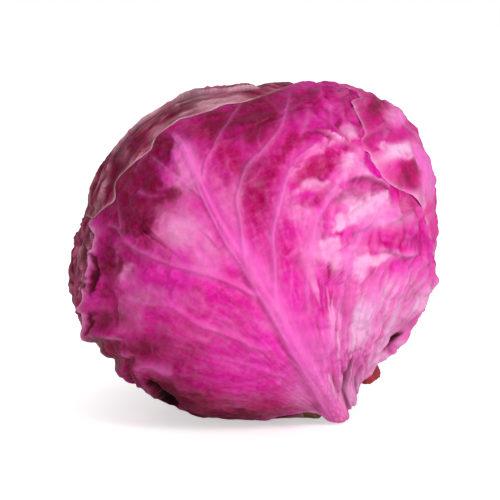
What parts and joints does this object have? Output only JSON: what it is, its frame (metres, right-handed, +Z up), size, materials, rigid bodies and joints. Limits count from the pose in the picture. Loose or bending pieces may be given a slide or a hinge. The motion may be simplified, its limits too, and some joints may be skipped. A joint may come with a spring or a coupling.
{
  "type": "red cabbage head",
  "caption": "Whole red cabbage head lying tilted on its side, with overlapping veined wrapper leaves and a cut stump at the lower right.",
  "frame": {"origin": "centre of the head's outline on the surface it rests on", "axes": "+Z up, +X to the right as seen in the picture, the picture looks along +Y and a little down"},
  "size_m": [0.1634, 0.154, 0.1482],
  "materials": {
    "leaf_magenta": "waxy leaf, magenta with pale pink veins",
    "leaf_dark": "waxy leaf, dark crimson purple with a grey bloom",
    "leaf_pale": "waxy leaf, bright pink",
    "inner_leaves": "waxy leaf, purple",
    "stump": "dry cut stem, brown, matt"
  },
  "bodies": {
    "root": {"leaf_front": "leaf_magenta", "leaf_top_left": "leaf_dark", "leaf_left": "leaf_dark", "leaf_right": "leaf_pale", "leaf_lower_right": "leaf_pale", "leaf_back": "leaf_dark", "inner_head": "inner_leaves", "stem": "stump"}
  },
  "joints": []
}
